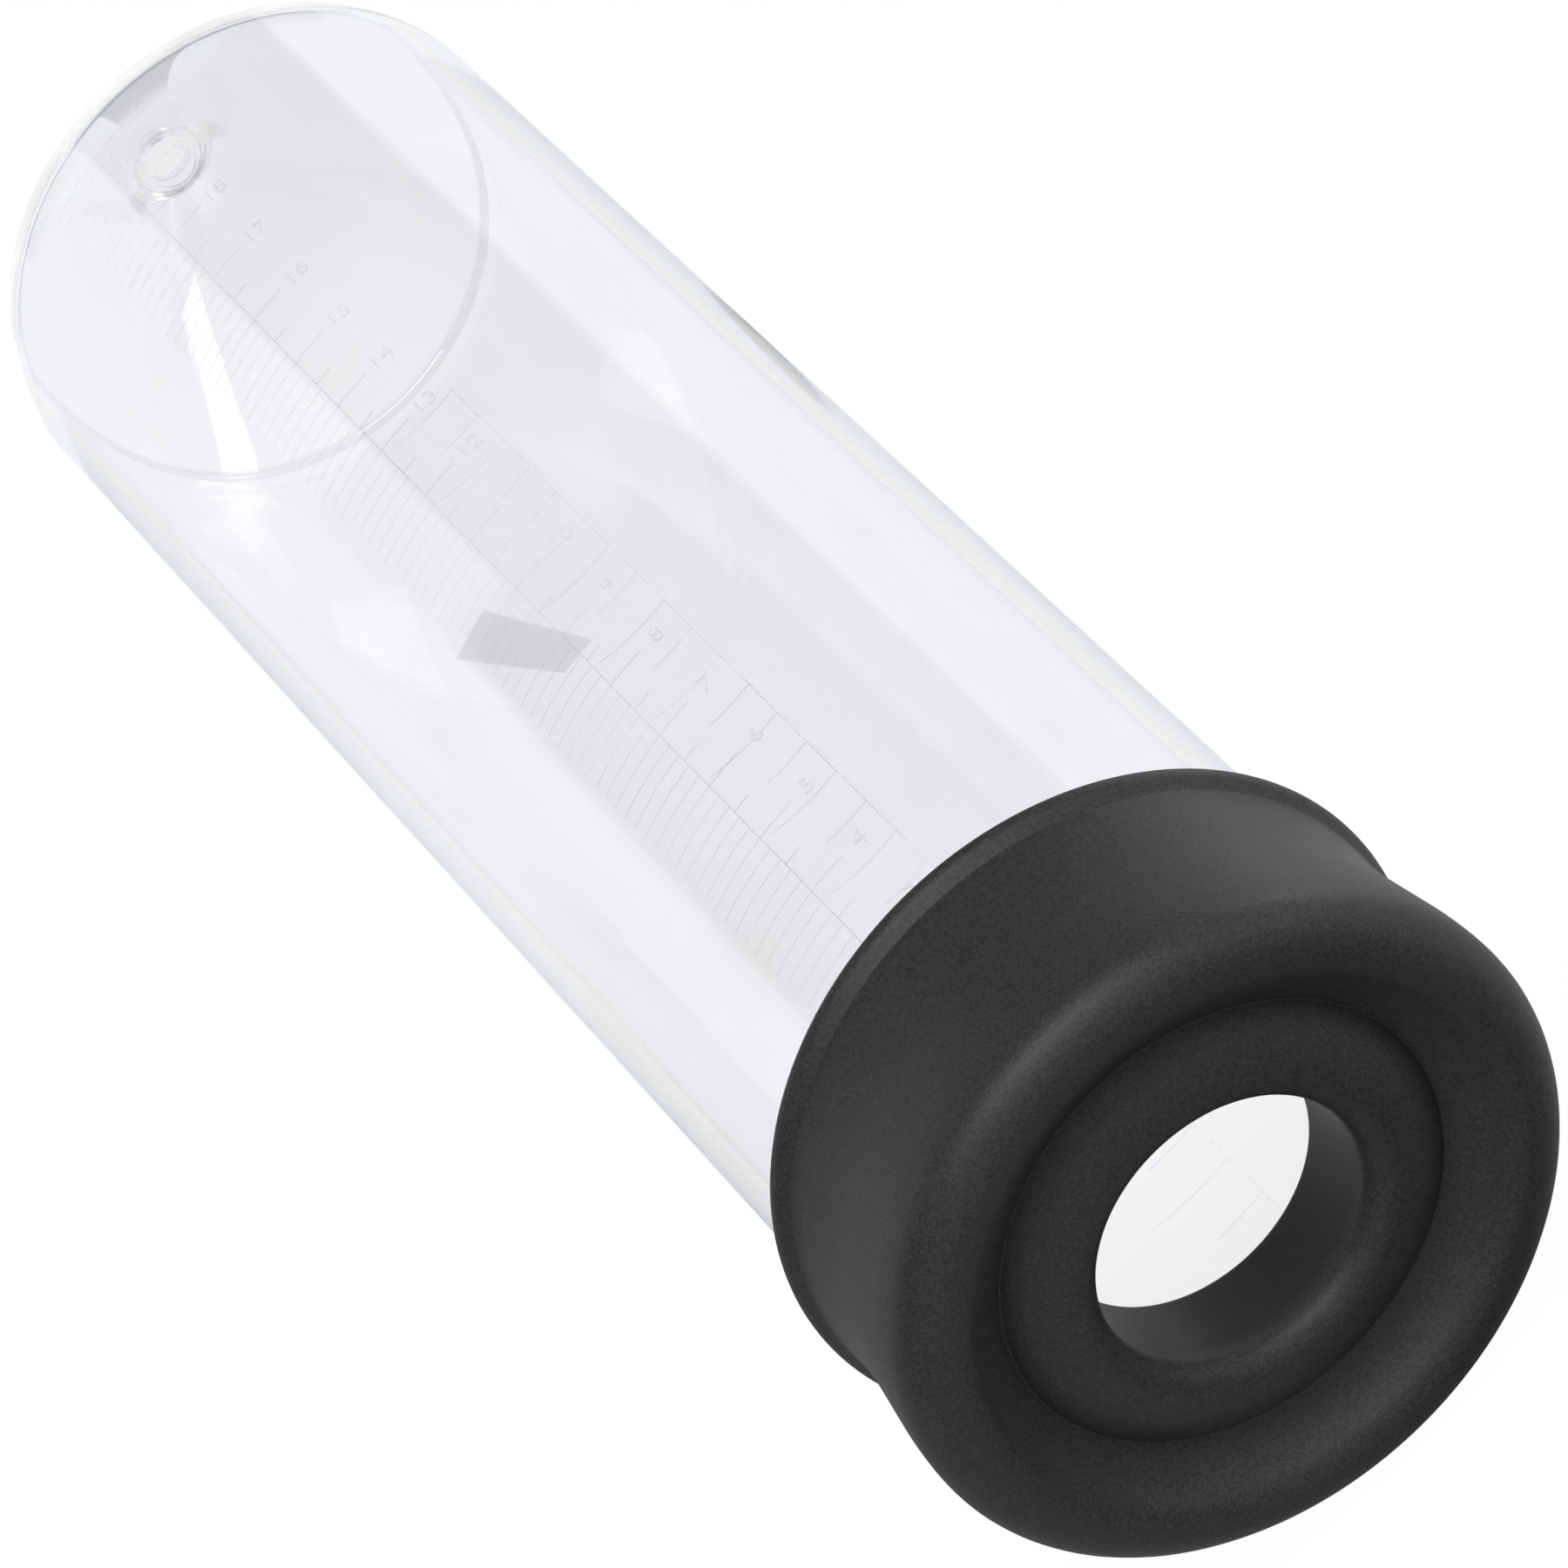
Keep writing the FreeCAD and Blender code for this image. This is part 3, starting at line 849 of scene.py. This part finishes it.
# Painted reflections: patches of the floor that only show through the barrel, darker or lighter
# there: corners in mm, change, blur in mm
PAINTED_REFLECTION_PATCHES = [
    ([(-9.21, 160.70), (-4.19, 161.39), (-10.96, 177.79), (-17.58, 175.46)], -0.21, 0.12),
    ([(-30.51, 205.69), (-26.14, 204.93), (-22.93, 222.70), (-28.08, 223.38)], 0.07, 0.8),
    ([(-31.44, 122.81), (-28.31, 122.27), (-37.11, 166.96), (-40.66, 168.37)], -0.04, 0.5),
]

CLIP_RANGE = (0.01, 50.0)

# Softboxes: name, place, target, width, height, watts
CONE_SIDE = (-0.0105, 0.222, -0.012)
SOFTBOXES = [
    ("right_softbox", (0.615, -0.138, 0.196), CONE_SIDE, 0.25, 0.15, 0.55),
    ("overhead_softbox", (0.0, -0.19, 0.9), (0, -0.02, 0), 0.8, 0.32, 6.6),
    ("side_softbox", (0.85, 0.50, 0.14), (0, 0.01, 0), 0.35, 0.4, 1.6),
]


def softbox(name, location, target, width, height, power):
    light = bpy.data.lights.new(name, "AREA")
    light.shape = "RECTANGLE"
    light.size, light.size_y = width, height
    light.energy = power
    lamp = linked(name, light)
    lamp.location = location
    lamp.rotation_mode = "QUATERNION"
    lamp.rotation_quaternion = (Vector(target) - Vector(location)).to_track_quat("-Z", "Y")


def ray_kinds(shader):
    """1 for rays straight from the camera, and 1 for rays that went through clear plastic."""
    camera = shader.node("ShaderNodeLightPath", output="Is Camera Ray")
    depth = shader.node("ShaderNodeLightPath", output="Transmission Depth")
    return camera, step(shader, depth, 0.4, 0.6)


def inside_outline(shader, x, y, corners, blur):
    """1 inside a convex outline, 0 outside it; the corners in mm go anticlockwise."""
    share = 1.0
    for start, end in zip(corners, corners[1:] + corners[:1]):
        (x1, y1), (x2, y2) = (Vector(corner) * MM for corner in (start, end))
        run, rise = x2 - x1, y2 - y1
        depth = (run * (y - y1) - rise * (x - x1)) * (1.0 / math.hypot(run, rise))
        share = share * step(shader, depth, -blur, blur)
    return share


def floor_material(use):
    """A white sweep: bright to the camera and through the barrel; in reflections it carries a
    painted shadow of the object and a painted dark patch.
    """
    material, shader = new_material("pale_floor")
    camera, through = ray_kinds(shader)
    x, y, _ = split(shader, place(shader))

    # Painted shadow of the object on the floor, seen in what the object mirrors: dim in front,
    # pale behind, and one painted dark patch.
    right = step(shader, x, *FLOOR_FADE_RIGHT)
    front = use.floor_left - (use.floor_left - use.floor_right) * right
    back = step(shader, y + FLOOR_SLANT * x, *FLOOR_FADE_BACK)
    shade = front + (use.floor_back - front) * back
    distance = gap(shader, place(shader), use.flag_place)
    card = step(shader, distance, use.flag_reach, use.flag_core)
    shade = shade * (1.0 - use.flag_depth * card)

    seen = use.seen_through
    # Painted reflections: the patches darken or brighten the floor seen through the barrel.
    for corners, change, blur in PAINTED_REFLECTION_PATCHES:
        seen = seen * (1.0 + change * inside_outline(shader, x, y, corners, blur * MM))
    strength = shade + (seen - shade) * through
    strength = strength + (use.floor_white - strength) * camera
    colour = blend(shader, greater(camera, through), FLOOR_TINT, WHITE)
    glow = shader.node("ShaderNodeEmission", Color=colour, Strength=strength)
    matte = shader.node("ShaderNodeBsdfDiffuse", Color=(0.05, 0.05, 0.05, 1))
    shader.surface(shader.node("ShaderNodeAddShader", _0=glow, _1=matte))
    return material


def studio_world(use):
    """A dark room with pale walls at the sides and in front, white to the camera."""
    world = bpy.data.worlds.new("studio")
    sky = Shader(world)
    camera, through = ray_kinds(sky)
    x, y, z = split(sky, sky.node("ShaderNodeTexCoord", output="Generated"))

    # Directions as seen from the barrel: the angle round its axis from the top, and the
    # angle away from its closed end.
    around = x.maths("ARCTAN2", x, z)
    polar = y.maths("ARCCOSINE", y, 0.0)

    right, left, card = (step(sky, around, *(edge * DEGREE for edge in edges))
                         for edges in (RIGHT_WALL, LEFT_WALL, LEFT_CARD))
    card = card * step(sky, polar, *(edge * DEGREE for edge in LEFT_CARD_END))
    pale = greater(greater(right, left), card) * step(sky, y, *ROOM_BACK)
    pale = greater(pale, use.room_front * step(sky, y, *ROOM_FRONT))

    room = use.room_dark + (use.room_light - use.room_dark) * pale
    inside = use.inside_dark + (1.0 - use.inside_dark) * pale
    strength = room + (inside - room) * through
    strength = strength + (1.0 - strength) * camera
    colour = blend(sky, camera, ROOM_TINT, WHITE)
    sky.surface(sky.node("ShaderNodeBackground", Color=colour, Strength=strength),
                "ShaderNodeOutputWorld")
    return world


class MakeStage(bpy.types.Operator):
    """Set up the pale floor, the studio light and the camera"""
    bl_idname = "vacuum_cylinder.stage"
    bl_label = "Stage"

    def execute(self, context):
        use = context.scene.stage_settings
        scene = context.scene
        scene.view_settings.view_transform = "Standard"
        work = bmesh.new()
        bmesh.ops.create_grid(work, x_segments=1, y_segments=1, size=use.floor_size / 2)
        bmesh.ops.translate(work, vec=(0, 0, CAD_LOW.z), verts=work.verts[:])
        floor = finished_piece("floor", work)
        floor.data.materials.append(floor_material(use))
        scene.world = studio_world(use)

        for box in SOFTBOXES:
            softbox(*box)

        lens = bpy.data.cameras.new("camera")
        lens.lens = use.lens
        lens.sensor_width = use.sensor
        lens.clip_start, lens.clip_end = CLIP_RANGE
        camera = linked("camera", lens)
        tilt = Matrix.Rotation(math.pi / 2 - use.camera_elevation, 4, "X")
        roll = Matrix.Rotation(-use.camera_roll, 4, "Z")
        camera.matrix_world = Matrix.Translation(use.camera_place) @ tilt @ roll
        scene.camera = camera
        return {"FINISHED"}


class CylinderPanel(bpy.types.Panel):
    """Buttons and sizes for the vacuum cylinder"""
    bl_idname = "VIEW3D_PT_vacuum_cylinder"
    bl_label = "Vacuum Cylinder"
    bl_space_type = "VIEW_3D"
    bl_region_type = "UI"
    bl_category = "Vacuum Cylinder"

    def draw(self, context):
        for operator in OPERATORS:
            self.layout.operator(operator.bl_idname)
        for name, group in SETTINGS.items():
            box = self.layout.box()
            box.label(text=group.__doc__)
            for field in group.__annotations__:
                box.prop(getattr(context.scene, name), field)


SETTINGS = {
    "barrel_settings": BarrelSettings,
    "sleeve_settings": SleeveSettings,
    "scale_settings": ScaleSettings,
    "stage_settings": StageSettings,
}
OPERATORS = [MakeStage, MakeBarrel, MakeSleeve, MakeCentimetreScale, MakeInchScale, MakeNumerals]


def register():
    for group in SETTINGS.values():
        bpy.utils.register_class(group)
    for operator in OPERATORS:
        bpy.utils.register_class(operator)
    bpy.utils.register_class(CylinderPanel)
    for name, group in SETTINGS.items():
        setattr(bpy.types.Scene, name, bpy.props.PointerProperty(type=group))


def unregister():
    for name in SETTINGS:
        delattr(bpy.types.Scene, name)
    bpy.utils.unregister_class(CylinderPanel)
    for operator in reversed(OPERATORS):
        bpy.utils.unregister_class(operator)
    for group in SETTINGS.values():
        bpy.utils.unregister_class(group)


def main():
    register()
    for operator in OPERATORS:
        group, name = operator.bl_idname.split(".")
        getattr(getattr(bpy.ops, group), name)()


if __name__ == "__main__":
    main()
